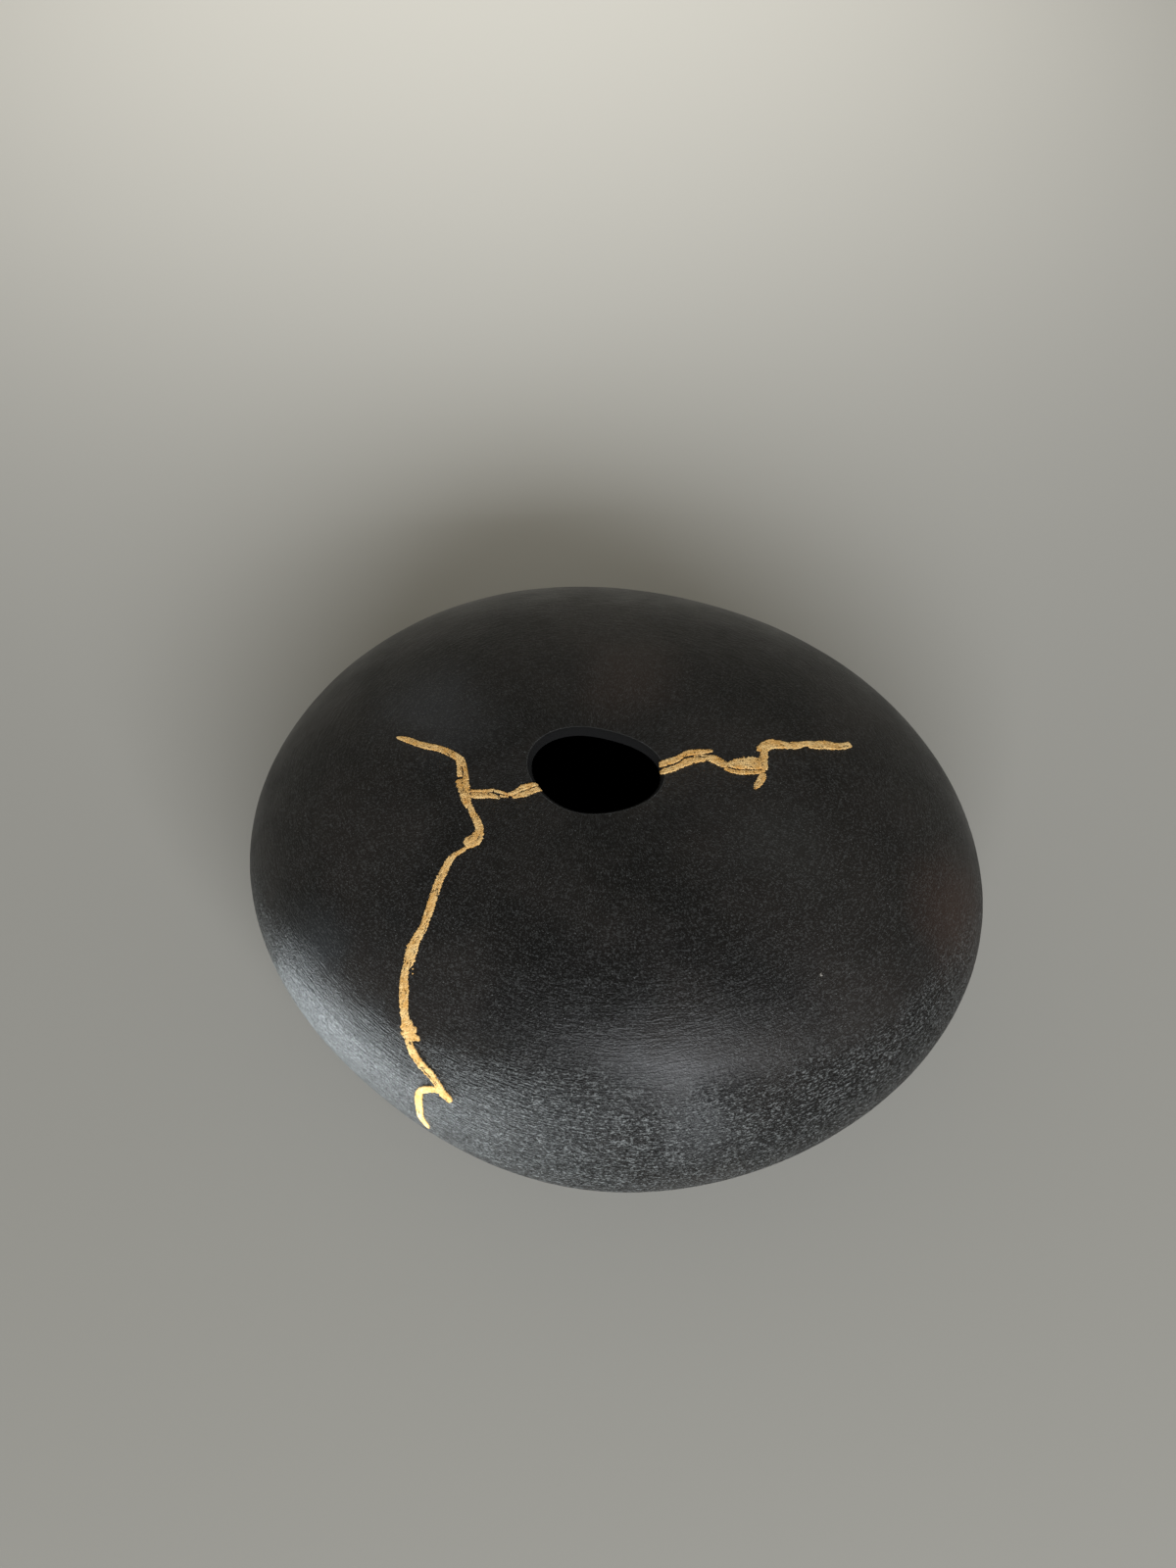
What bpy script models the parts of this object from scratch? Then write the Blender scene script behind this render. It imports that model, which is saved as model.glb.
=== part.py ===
"""Kintsugi vase: a squat, hand-built black clay vessel with a small oval mouth.

Two cracks that run out from the mouth are mended with raised seams of gilded lacquer.
Run with: blender --background --python part.py
Metres, +Z up. The front is at -Y. The origin is on the underside, under the middle of the belly.

A place on the outer wall is given by two angles in degrees. The azimuth runs round the vase from +X
towards +Y. The fall runs down the wall: 0 at the crown of the lip, 90 at the belly, and on to the
edge of the underside. A negative fall lies on the round of the lip, down to -90 inside the mouth.
"""

from math import asin, cos, degrees, hypot, radians, sin, sqrt

import bmesh
import bpy
from mathutils import Vector

# Vessel sizes
BELLY_RADIUS = 0.140
BELLY_HEIGHT = 0.062
SHOULDER_RISE = 0.060
FOOT_RADIUS = 0.090
WALL = 0.005
FLOOR = 0.006
LIP_ROUND = 0.002
LIP_ROUND_LIMIT = 0.45  # of the wall
SHOULDER_FULLNESS = 2.4
UNDERCUT_FULLNESS = 2.2

# Mouth: an oval set a little left of the middle, and its turn in degrees
MOUTH_LENGTH = 0.048
MOUTH_WIDTH = 0.038
MOUTH_TURN = -16.0
MOUTH_OFFSET_X = -0.0075
MOUTH_OFFSET_Y = -0.0057

# Unevenness of the hand-built rounds: how many lobes, how far they stand out, the azimuth of one
BELLY_LOBES = ((2, 0.0056, -30.0), (3, 0.0007, 20.0), (4, 0.00075, -1.5), (5, 0.0007, -26.0))
MOUTH_LOBES = ((3, 0.00075, 8.0),)

# Gilded seams
SEAM_GAP = 0.0003
SEAM_EDGE = 0.0003
SEAM_CROWN = 0.0006
SEAM_STEP = 0.004
LIP_STEP = 18.0

# The angle in degrees between places that are compared to find a direction on the wall
NEAR = 0.1

# Edges that turn more than this many degrees are shaded as sharp
SHARP_TURN = 40.0

# Fineness of the vessel
AZIMUTH_STEPS = 84
SHOULDER_STEPS = 14
UNDERCUT_STEPS = 8
LIP_STEPS = 4
INNER_SHOULDER_STEPS = 9
INNER_UNDERCUT_STEPS = 6
FLOOR_HALVINGS = 30

# Colours, linear, and how rough each surface is
CLAY_BLACK = (0.021, 0.020, 0.020)
CLAY_ROUGHNESS = 0.55
LEAF_GOLD = (0.62, 0.42, 0.17)
LEAF_ROUGHNESS = 0.4

# Each seam is a main run and the runs that branch from its side. A run is a list of places with the
# seam's width there, (azimuth, fall, width). A branch names the place of the main run that it
# leaves, and the side: 1 is the left hand of someone who follows the main run.
LEFT_MAIN = (
    (167.7, 22.7, 0.0010),
    (168.2, 20.2, 0.0032),
    (170.6, 15.2, 0.0036),
    (173.4, 10.5, 0.0034),
    (176.6, 9.3, 0.0034),
    (181.0, 9.1, 0.0034),
    (185.7, 9.2, 0.0043),
    (191.0, 9.4, 0.0050),
    (194.8, 9.8, 0.0042),
    (199.0, 10.5, 0.0024),
    (205.5, 10.5, 0.0033),
    (210.8, 10.7, 0.0029),
    (214.2, 11.6, 0.0036),
    (216.3, 13.1, 0.0052),
    (216.8, 15.2, 0.0046),
    (217.2, 17.9, 0.0017),
    (217.4, 20.0, 0.0027),
    (220.0, 24.4, 0.0034),
    (224.7, 32.1, 0.0034),
    (226.3, 38.2, 0.0034),
    (226.9, 41.7, 0.0044),
    (228.2, 46.0, 0.0035),
    (230.9, 53.0, 0.0036),
    (232.1, 56.2, 0.0037),
    (233.8, 59.6, 0.0060),
    (235.0, 62.6, 0.0038),
    (237.1, 66.2, 0.0034),
    (239.3, 67.8, 0.0036),
    (241.0, 69.4, 0.0032),
    (242.7, 71.9, 0.0038),
    (244.4, 74.5, 0.0022),
)
LEFT_BRIDGE = (
    (196.5, 7.2, 0.0041),
    (198.0, 5.6, 0.0040),
    (200.9, 4.2, 0.0027),
    (202.4, 3.0, 0.0030),
    (201.8, 1.8, 0.0050),
    (202.2, 0.9, 0.0052),
    (201.6, 0.0, 0.0048),
    (201.8, -60.0, 0.0046),
)
LEFT_HOOK = (
    (240.8, 73.4, 0.0030),
    (239.3, 75.4, 0.0028),
    (238.7, 78.0, 0.0036),
    (238.9, 81.0, 0.0036),
    (239.1, 85.0, 0.0032),
    (239.3, 89.6, 0.0026),
    (239.7, 92.9, 0.0018),
    (240.2, 94.9, 0.0010),
)
RIGHT_MAIN = (
    (2.8, -60.0, 0.0044),
    (3.2, 0.0, 0.0045),
    (6.4, 1.2, 0.0056),
    (8.0, 2.4, 0.0062),
    (8.2, 4.1, 0.0056),
    (6.9, 5.1, 0.0046),
    (3.6, 6.5, 0.0036),
    (1.5, 7.3, 0.0034),
    (1.1, 8.6, 0.0058),
    (1.2, 10.4, 0.0078),
    (1.2, 12.0, 0.0074),
    (1.2, 13.6, 0.0062),
)
RIGHT_RISER = (
    (6.9, 13.6, 0.0034),
    (10.0, 14.4, 0.0040),
    (11.0, 16.6, 0.0046),
    (10.3, 18.2, 0.0044),
    (10.0, 20.0, 0.0040),
    (10.2, 22.2, 0.0032),
    (9.8, 24.5, 0.0041),
    (9.6, 26.8, 0.0043),
    (9.6, 29.3, 0.0041),
    (10.2, 32.2, 0.0034),
)
RIGHT_SPUR = (
    (-4.9, 12.4, 0.0032),
    (-7.5, 12.0, 0.0028),
    (-10.0, 11.6, 0.0010),
)
SEAMS = {
    "gold_seam_left": (LEFT_MAIN, ((LEFT_BRIDGE, 8, 1), (LEFT_HOOK, 29, -1))),
    "gold_seam_right": (RIGHT_MAIN, ((RIGHT_RISER, 11, 1), (RIGHT_SPUR, 11, -1))),
}


def clear_scene():
    """Removes whatever the file opened with."""
    for thing in list(bpy.data.objects):
        bpy.data.objects.remove(thing, do_unlink=True)


def lip_round():
    """The lip's rounding, which its wall limits."""
    return min(LIP_ROUND, LIP_ROUND_LIMIT * WALL)


def lobed(azimuth, lobes):
    """How far an uneven round stands out at an azimuth."""
    return sum(height * cos(count * radians(azimuth - turn)) for count, height, turn in lobes)


def belly_radius(azimuth):
    return BELLY_RADIUS + lobed(azimuth, BELLY_LOBES)


def mouth_radius(azimuth):
    """The clear opening's radius, from the mouth's own middle."""
    turned = radians(azimuth - MOUTH_TURN)
    oval = 1 / hypot(cos(turned) / (MOUTH_LENGTH / 2), sin(turned) / (MOUTH_WIDTH / 2))
    return oval + lobed(azimuth, MOUTH_LOBES)


def mouth_point(azimuth, outwards, height):
    """A point at the mouth, a distance outwards from its edge."""
    reach = mouth_radius(azimuth) + outwards
    turn = radians(azimuth)
    return Vector((MOUTH_OFFSET_X + reach * cos(turn), MOUTH_OFFSET_Y + reach * sin(turn), height))


def crown_height():
    return BELLY_HEIGHT + SHOULDER_RISE


def undercut_depth():
    """How far under the belly the lower wall would close, if the underside didn't cut it off."""
    return BELLY_HEIGHT / sqrt(1 - (FOOT_RADIUS / BELLY_RADIUS) ** UNDERCUT_FULLNESS)


def foot_fall():
    """The fall at which the wall meets the underside."""
    return 90 + degrees(asin(BELLY_HEIGHT / undercut_depth()))


def outer_point(azimuth, fall):
    """A point of the outer wall, from the inside of the lip to the edge of the underside."""
    turn = radians(azimuth)
    if fall < 0:
        over = radians(-fall)
        outwards = lip_round() * (1 - sin(over))
        return mouth_point(azimuth, outwards, crown_height() - lip_round() * (1 - cos(over)))
    belly = belly_radius(azimuth) * Vector((cos(turn), sin(turn), 0))
    if fall <= 90:
        crown = mouth_point(azimuth, lip_round(), 0)
        share = sin(radians(fall)) ** (2 / SHOULDER_FULLNESS)
        place = crown.lerp(belly, share)
        place.z = BELLY_HEIGHT + SHOULDER_RISE * cos(radians(fall))
        return place
    under = radians(fall - 90)
    place = belly * cos(under) ** (2 / UNDERCUT_FULLNESS)
    place.z = BELLY_HEIGHT - undercut_depth() * sin(under)
    return place


def outer_normal(azimuth, fall):
    """The outward direction of the outer wall, from four points close around the place."""
    around = outer_point(azimuth + NEAR, fall) - outer_point(azimuth - NEAR, fall)
    down = outer_point(azimuth, fall + NEAR) - outer_point(azimuth, fall - NEAR)
    return down.cross(around).normalized()


def lifted_point(azimuth, fall, lift):
    """A point at a distance from the outer wall, outside it where the lift is positive."""
    return outer_point(azimuth, fall) + lift * outer_normal(azimuth, fall)


def spread(first, last, steps):
    """The values from first to last in even steps, both ends included."""
    return [first + (last - first) * i / steps for i in range(steps + 1)]


def floor_fall(azimuth):
    """The fall at which the inner wall comes down to the floor, found by halving."""
    high, low = 90.0, foot_fall()
    for _ in range(FLOOR_HALVINGS):
        middle = (high + low) / 2
        if lifted_point(azimuth, middle, -WALL).z > FLOOR:
            high = middle
        else:
            low = middle
    return high


def profile(azimuth):
    """The section at one azimuth, from the edge of the underside over the lip to the floor inside."""
    points = [outer_point(azimuth, fall) for fall in spread(foot_fall(), 90, UNDERCUT_STEPS)]
    points[0].z = 0
    points += [outer_point(azimuth, fall) for fall in spread(90, 0, SHOULDER_STEPS)[1:]]
    points += [outer_point(azimuth, fall) for fall in spread(0, -90, LIP_STEPS)[1:]]
    ceiling = crown_height() - WALL
    for under in spread(90, 0, LIP_STEPS):
        outwards = lip_round() * (1 - sin(radians(under)))
        points.append(mouth_point(azimuth, outwards, ceiling + lip_round() * (1 - cos(radians(under)))))
    for fall in spread(0, 90, INNER_SHOULDER_STEPS)[1:]:
        points.append(lifted_point(azimuth, fall, -WALL))
    for fall in spread(90, floor_fall(azimuth), INNER_UNDERCUT_STEPS)[1:]:
        points.append(lifted_point(azimuth, fall, -WALL))
    points[-1].z = FLOOR
    return points


def vessel_mesh():
    """The hollow vessel: its sections bridged round, and closed by the underside and the floor."""
    bm = bmesh.new()
    sections = []
    for step in range(AZIMUTH_STEPS):
        azimuth = 360 * step / AZIMUTH_STEPS
        sections.append([bm.verts.new(point) for point in profile(azimuth)])
    for step, section in enumerate(sections):
        following = sections[(step + 1) % AZIMUTH_STEPS]
        for level in range(len(section) - 1):
            bm.faces.new((section[level], following[level], following[level + 1], section[level + 1]))
    bm.faces.new([section[0] for section in reversed(sections)])
    bm.faces.new([section[-1] for section in sections])
    return bm


def refined(run):
    """The run's places with more between them, so that a seam's underside clears the wall."""
    places = [run[0]]
    for start, end in zip(run, run[1:]):
        length = (outer_point(end[0], end[1]) - outer_point(start[0], start[1])).length
        steps = max(1, round(length / SEAM_STEP))
        if min(start[1], end[1]) < 0:
            steps = max(steps, round(abs(end[1] - start[1]) / LIP_STEP))
        for i in range(1, steps):
            places.append(tuple(a + (b - a) * i / steps for a, b in zip(start, end)))
        places.append(end)
    return places


def beside(azimuth, fall, direction, distance):
    """The azimuth and fall of the place that lies a distance away along a direction on the wall."""
    around = (outer_point(azimuth + NEAR, fall) - outer_point(azimuth - NEAR, fall)) / (2 * NEAR)
    down = (outer_point(azimuth, fall + NEAR) - outer_point(azimuth, fall - NEAR)) / (2 * NEAR)
    # The shares of the two surface directions that add up to the wanted one
    aa, dd, ad = around.dot(around), down.dot(down), around.dot(down)
    wa, wd = direction.dot(around), direction.dot(down)
    scale = distance / (aa * dd - ad * ad)
    return azimuth + scale * (wa * dd - wd * ad), fall + scale * (wd * aa - wa * ad)


def seam_row(bm, places, index):
    """The five points across a seam at one place: low left, low right, top right, crown, top left."""
    azimuth, fall, width = places[index]
    before = places[max(index - 1, 0)]
    after = places[min(index + 1, len(places) - 1)]
    along = outer_point(after[0], after[1]) - outer_point(before[0], before[1])
    left = outer_normal(azimuth, fall).cross(along).normalized()
    sides = (beside(azimuth, fall, left, width / 2), beside(azimuth, fall, left, -width / 2))
    lifts = (
        (sides[0], SEAM_GAP),
        (sides[1], SEAM_GAP),
        (sides[1], SEAM_GAP + SEAM_EDGE),
        ((azimuth, fall), SEAM_GAP + SEAM_CROWN),
        (sides[0], SEAM_GAP + SEAM_EDGE),
    )
    return [bm.verts.new(lifted_point(place[0], place[1], lift)) for place, lift in lifts]


def bridge_rows(bm, row, following, open_sides=()):
    """The faces between two rows of a seam. A side that a branch leaves from stays open."""
    sides = {1: -1, 4: 1}
    for i in range(5):
        if sides.get(i) in open_sides:
            continue
        j = (i + 1) % 5
        bm.faces.new((row[i], row[j], following[j], following[i]))


def add_branch(bm, row, following, run, side):
    """A branch that starts on one side of the main run, between two of its rows."""
    places = refined(run)
    rows = [seam_row(bm, places, i) for i in range(len(places))]
    first = rows[0]
    if side == 1:
        low_left, low_right, top_right, top_left = row[0], following[0], following[4], row[4]
    else:
        low_left, low_right, top_right, top_left = following[1], row[1], row[2], following[2]
    bm.faces.new((low_left, low_right, first[1], first[0]))
    bm.faces.new((low_right, top_right, first[2], first[1]))
    bm.faces.new((top_left, low_left, first[0], first[4]))
    bm.faces.new((top_right, first[3], first[2]))
    bm.faces.new((top_right, top_left, first[3]))
    bm.faces.new((top_left, first[4], first[3]))
    for row, following in zip(rows, rows[1:]):
        bridge_rows(bm, row, following)
    bm.faces.new(rows[-1])


def seam_mesh(main, branches):
    """One closed body: the main run with its branches grown from its sides."""
    bm = bmesh.new()
    places = refined(main)
    rows = [seam_row(bm, places, i) for i in range(len(places))]
    doors = {}
    for run, index, side in branches:
        start = places.index(main[index])
        doors[start - 1, side] = run
    bm.faces.new(reversed(rows[0]))
    for i, (row, following) in enumerate(zip(rows, rows[1:])):
        sides = [side for side in (1, -1) if (i, side) in doors]
        bridge_rows(bm, row, following, sides)
        for side in sides:
            add_branch(bm, row, following, doors[i, side], side)
    bm.faces.new(rows[-1])
    return bm


def principled(name, colour, roughness, metallic):
    """A plain material of one colour."""
    material = bpy.data.materials.new(name)
    material.use_nodes = True
    shader = material.node_tree.nodes["Principled BSDF"]
    shader.inputs["Base Color"].default_value = (*colour, 1)
    shader.inputs["Roughness"].default_value = roughness
    shader.inputs["Metallic"].default_value = metallic
    return material


def add_piece(name, bm, material):
    """Puts a finished mesh in the scene as one named piece."""
    bmesh.ops.recalc_face_normals(bm, faces=bm.faces)
    mesh = bpy.data.meshes.new(name)
    bm.to_mesh(mesh)
    bm.free()
    mesh.materials.append(material)
    mesh.shade_smooth()
    mesh.set_sharp_from_angle(angle=radians(SHARP_TURN))
    piece = bpy.data.objects.new(name, mesh)
    bpy.context.scene.collection.objects.link(piece)
    return piece


def main():
    clear_scene()
    clay = principled("burnished_black_clay", CLAY_BLACK, CLAY_ROUGHNESS, 0)
    add_piece("vase_body", vessel_mesh(), clay)
    for name, (run, branches) in SEAMS.items():
        gold = principled(f"{name}_leaf", LEAF_GOLD, LEAF_ROUGHNESS, 1)
        add_piece(name, seam_mesh(run, branches), gold)


main()
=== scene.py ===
"""The looks of a kintsugi vase: black burnished clay, and cracks mended with lacquer under gold leaf.

Run with: blender --background --python scene.py
Metres, +Z up, the front at -Y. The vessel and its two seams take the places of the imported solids.

A place on the outer wall is given by two angles. The azimuth runs round the vase from +X towards +Y.
The fall runs down the wall: 0 at the crown of the lip, 90 degrees at the belly and more below it.
"""

from math import asin, cos, pi, radians, sin, sqrt

import bmesh
import bpy
from mathutils import Euler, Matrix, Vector
from mathutils.bvhtree import BVHTree


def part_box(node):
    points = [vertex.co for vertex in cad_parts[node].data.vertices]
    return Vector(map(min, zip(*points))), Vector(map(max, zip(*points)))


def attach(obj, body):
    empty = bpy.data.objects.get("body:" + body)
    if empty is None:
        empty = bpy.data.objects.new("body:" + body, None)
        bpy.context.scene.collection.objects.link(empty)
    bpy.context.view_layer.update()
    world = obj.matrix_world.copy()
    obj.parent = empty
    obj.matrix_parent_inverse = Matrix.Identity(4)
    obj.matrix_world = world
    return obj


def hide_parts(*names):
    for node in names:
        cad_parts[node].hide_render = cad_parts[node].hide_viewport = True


bl_info = {
    "name": "Kintsugi vase",
    "version": (1, 0, 0),
    "blender": (4, 5, 0),
    "location": "3D View > Sidebar > Vase",
    "description": "Builds a black clay vase whose cracks are mended with gold",
    "category": "Add Mesh",
}

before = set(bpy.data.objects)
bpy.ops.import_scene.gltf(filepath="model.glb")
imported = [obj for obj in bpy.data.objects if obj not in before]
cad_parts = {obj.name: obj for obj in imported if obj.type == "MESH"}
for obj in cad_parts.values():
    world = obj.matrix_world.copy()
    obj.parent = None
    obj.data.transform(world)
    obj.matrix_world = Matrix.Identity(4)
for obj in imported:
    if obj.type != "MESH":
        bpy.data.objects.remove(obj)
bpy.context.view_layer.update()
BODY = "root"
MM = 0.001

# Vessel sizes that nothing else sets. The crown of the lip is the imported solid's highest point.
BELLY_RADIUS = 0.140
BELLY_HEIGHT = 0.062
FOOT_RADIUS = 0.090
WALL = 0.005
FLOOR = 0.006
LIP_ROUND = 0.002
SHOULDER_FULLNESS = 2.4
UNDERCUT_FULLNESS = 2.2
MOUTH_LENGTH = 0.048
MOUTH_WIDTH = 0.038
MOUTH_TURN = -16.0
MOUTH_OFFSET = (-0.0075, -0.0057)
CROWN_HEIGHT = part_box("vase_body")[1].z

# Unevenness of the hand-built rounds: how many lobes, how far they stand out, the azimuth of one
BELLY_LOBES = ((2, 0.0056, -30.0), (3, 0.0007, 20.0), (4, 0.00075, -1.5), (5, 0.0007, -26.0))
MOUTH_LOBES = ((3, 0.00075, 8.0),)

# The attributes that give a point's place on the wall
PLACE_NAMES = ("azimuth", "fall", "over", "closing")

# The length on the wall, in metres, that one radian of fall stands for in the flow of the surface
FALL_LENGTH = 0.09

# Fineness of the vessel: steps round it, and rows on each stretch of its section: the underside, the wall
# up to the belly, the shoulder, the lip, the inside down to the belly and to the floor, and the floor
AZIMUTH_STEPS = 400
SECTION_ROWS = (2, 44, 92, 12, 24, 24, 2)

# The photograph's frame, and the camera that its outline and mouth were fitted with
PHOTO_WIDTH = 1200
PHOTO_HEIGHT = 1600
FOCAL_PIXELS = 1700
SENSOR = 36.0
CAMERA_PLACE = (-0.0098, -0.4033, 0.5873)
CAMERA_TILT = 40.0

# Strokes of gold, read in the photograph's frame: each place is (x, y, width), in its pixels
ARM = (
    (404.4, 752.5, 0.8), (408.0, 753.2, 3.4), (413.0, 754.2, 5.4), (418.0, 755.8, 6.2), (424.5, 758.3, 6.2),
    (435.2, 761.4, 6.5), (446.8, 763.6, 6.4), (456.6, 767.2, 7.2), (465.5, 771.9, 7.2), (470.8, 776.0, 7.0),
    (473.6, 781.0, 5.2), (474.8, 786.0, 4.6), (475.4, 792.0, 6.0), (475.0, 797.0, 7.0),
)
ARM_STRAND = (
    (466.8, 775.5, 4.6), (468.4, 780.0, 5.2), (468.6, 785.0, 5.0), (469.0, 790.0, 5.6), (469.2, 792.8, 5.0),
)
JUNCTION = (
    (471.6, 794.6, 12.6), (472.2, 799.0, 13.8), (473.1, 804.3, 12.6), (474.6, 808.8, 11.4),
    (475.4, 814.2, 9.0),
)
JUNCTION_STRAND = (
    (470.0, 810.0, 3.4), (471.5, 814.0, 3.8), (473.8, 818.8, 3.8), (475.6, 822.5, 2.8), (476.2, 825.0, 1.0),
)
NECK = (
    (476.8, 811.0, 6.0), (478.6, 820.5, 5.6), (480.8, 825.4, 6.2), (483.6, 832.5, 7.4), (487.6, 839.8, 8.6),
    (489.2, 846.0, 8.9), (489.0, 850.5, 9.0),
)
KNOT = ((489.6, 847.6, 8.8), (485.8, 855.0, 13.0), (479.8, 859.6, 12.6), (474.2, 862.8, 8.6))
LONG_FALL = (
    (476.4, 864.2, 3.8), (470.9, 868.6, 4.0), (465.5, 871.3, 4.8), (461.0, 875.0, 6.2), (457.0, 881.0, 7.4),
    (449.0, 897.0, 8.6), (442.5, 915.0, 8.8), (437.0, 932.0, 9.0), (431.5, 947.0, 8.6), (424.5, 959.0, 10.0),
    (419.6, 971.0, 12.6), (417.0, 981.5, 10.6), (414.4, 987.5, 7.6), (412.8, 996.0, 8.0),
    (412.3, 1003.0, 8.6),
)
LOWER_FALL = (
    (412.3, 999.0, 8.4), (412.2, 1011.0, 10.0), (412.0, 1021.3, 9.6), (412.4, 1031.5, 8.6),
    (413.6, 1040.0, 8.8), (415.4, 1047.0, 9.0),
)
DAB_HIGH = ((409.5, 1050.0, 6.0), (413.0, 1047.0, 9.0), (417.5, 1044.5, 8.5), (421.0, 1042.8, 4.5))
DAB_MIDDLE = ((410.0, 1056.0, 6.0), (414.5, 1053.0, 11.0), (420.5, 1051.0, 10.0), (425.4, 1051.5, 5.4))
DAB_LOW = (
    (412.5, 1059.5, 7.0), (417.0, 1058.0, 10.0), (422.0, 1057.5, 10.0), (425.8, 1059.5, 6.0),
    (428.4, 1062.2, 1.4),
)
SLANT = (
    (415.8, 1060.0, 7.0), (418.2, 1066.5, 7.2), (421.0, 1073.0, 8.2), (425.8, 1081.0, 7.6),
    (432.0, 1089.0, 8.0), (439.7, 1096.8, 7.4), (446.0, 1105.5, 7.0), (451.2, 1114.4, 7.6),
    (457.5, 1120.8, 7.0), (460.3, 1125.0, 3.6),
)
HOOK = (
    (449.5, 1113.0, 5.5), (443.5, 1111.6, 6.4), (434.0, 1111.4, 7.6), (428.8, 1113.6, 8.6),
    (427.2, 1119.0, 8.4), (427.6, 1125.0, 8.2), (428.4, 1132.3, 7.0), (429.5, 1138.7, 5.5),
    (433.3, 1145.0, 4.0), (437.8, 1150.8, 1.0),
)
BRIDGE_UPPER = (
    (480.0, 807.3, 2.8), (487.2, 807.3, 2.7), (495.8, 807.2, 2.9), (502.7, 806.6, 3.0), (507.3, 807.6, 2.7),
    (513.0, 809.3, 2.7), (517.4, 811.0, 2.6),
)
BRIDGE_LOWER = (
    (480.0, 811.4, 5.0), (488.4, 812.2, 5.8), (495.8, 812.1, 5.6), (502.1, 812.0, 5.2), (506.7, 813.4, 3.8),
    (510.0, 815.5, 0.8),
)
BRIDGE_TWIST = ((509.4, 811.8, 1.6), (513.6, 813.2, 2.0), (519.0, 813.4, 2.0))
LIP_UPPER = (
    (517.2, 811.4, 3.0), (522.8, 809.9, 4.2), (527.6, 807.4, 4.6), (531.4, 804.6, 6.0), (537.7, 802.5, 6.0),
    (543.5, 800.8, 4.6), (548.2, 801.0, 2.8),
)
LIP_LOWER = (
    (522.5, 813.0, 2.6), (526.0, 812.8, 4.0), (530.3, 811.5, 4.6), (536.0, 810.2, 6.2), (541.8, 807.7, 6.6),
    (546.9, 805.7, 6.0), (550.8, 804.8, 5.2),
)
FLECK_HIGH = ((420.2, 988.8, 1.6), (422.2, 988.5, 1.8))
FLECK_LOW = ((420.4, 993.3, 1.6), (422.0, 993.6, 1.4))
LEFT_STROKES = (
    ARM, ARM_STRAND, JUNCTION, JUNCTION_STRAND, NECK, KNOT, LONG_FALL, LOWER_FALL, DAB_HIGH, DAB_MIDDLE,
    DAB_LOW, SLANT, HOOK, BRIDGE_UPPER, BRIDGE_LOWER, BRIDGE_TWIST, LIP_UPPER, LIP_LOWER, FLECK_HIGH,
    FLECK_LOW,
)
RIM_UPPER = (
    (672.6, 781.0, 4.6), (675.4, 779.8, 6.4), (681.6, 777.5, 6.6), (689.9, 775.0, 6.2), (696.5, 770.9, 5.4),
    (702.3, 768.5, 6.0), (711.4, 767.4, 5.6), (718.9, 767.2, 4.6), (727.6, 766.2, 1.6),
)
RIM_LOWER = (
    (673.8, 788.3, 3.8), (677.4, 787.1, 5.4), (685.7, 784.8, 6.0), (694.0, 781.2, 6.0), (700.7, 777.9, 7.6),
    (706.5, 776.1, 6.8), (714.8, 775.0, 5.2), (722.2, 774.2, 5.4), (728.0, 774.6, 8.2), (733.8, 777.5, 8.8),
    (739.6, 780.5, 7.0), (743.0, 781.6, 5.0),
)
RIM_TORN = ((707.5, 772.2, 1.4), (713.0, 770.9, 1.8), (719.0, 771.1, 1.6), (725.0, 771.6, 2.0))
PATCH = (
    (741.5, 780.6, 3.5), (747.9, 779.8, 8.5), (754.6, 779.4, 12.0), (762.8, 778.6, 13.0),
    (771.1, 779.0, 12.4), (777.5, 779.3, 12.0),
)
PATCH_EDGE = (
    (739.0, 783.6, 3.0), (746.3, 786.9, 3.4), (754.6, 788.2, 4.2), (764.5, 788.1, 4.2), (773.6, 787.8, 4.0),
    (781.0, 786.4, 2.4),
)
RISER = (
    (780.4, 786.0, 6.6), (779.6, 779.0, 8.4), (779.2, 771.5, 8.6), (780.0, 765.5, 8.6), (784.0, 761.4, 7.6),
)
RISER_OVERLAP = (
    (773.2, 766.5, 4.0), (775.0, 763.6, 6.0), (778.8, 760.6, 7.0), (785.0, 757.8, 6.6), (791.0, 756.8, 5.6),
)
RUN_OUT = (
    (780.5, 764.0, 6.4), (786.5, 760.8, 8.4), (793.1, 759.4, 9.2), (802.3, 760.6, 7.0), (813.0, 760.6, 7.6),
    (822.9, 758.8, 5.4), (829.8, 760.3, 8.0), (842.1, 760.3, 8.6), (852.8, 761.6, 7.0), (860.4, 761.3, 7.0),
    (867.8, 759.5, 6.8),
)
SPUR = (
    (779.2, 788.8, 6.6), (776.9, 794.8, 8.3), (773.6, 799.7, 7.8), (771.1, 803.2, 5.0), (770.2, 805.6, 1.0),
)
RIGHT_STROKES = (RIM_UPPER, RIM_LOWER, RIM_TORN, PATCH, PATCH_EDGE, RISER, RISER_OVERLAP, RUN_OUT, SPUR)

# Fineness of a stroke: the step along its reading in the photograph's pixels, its steps across, and the
# fewest points along its mesh
STROKE_STEP = 0.8
STROKE_ACROSS = 16
FEWEST_STEPS = 6

# The least width of a stroke in pixels, and the fewest pixels that a millimetre across it may take up
NARROWEST = 0.6
LEAST_PIXELS_EACH_MM = 1.0
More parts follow.
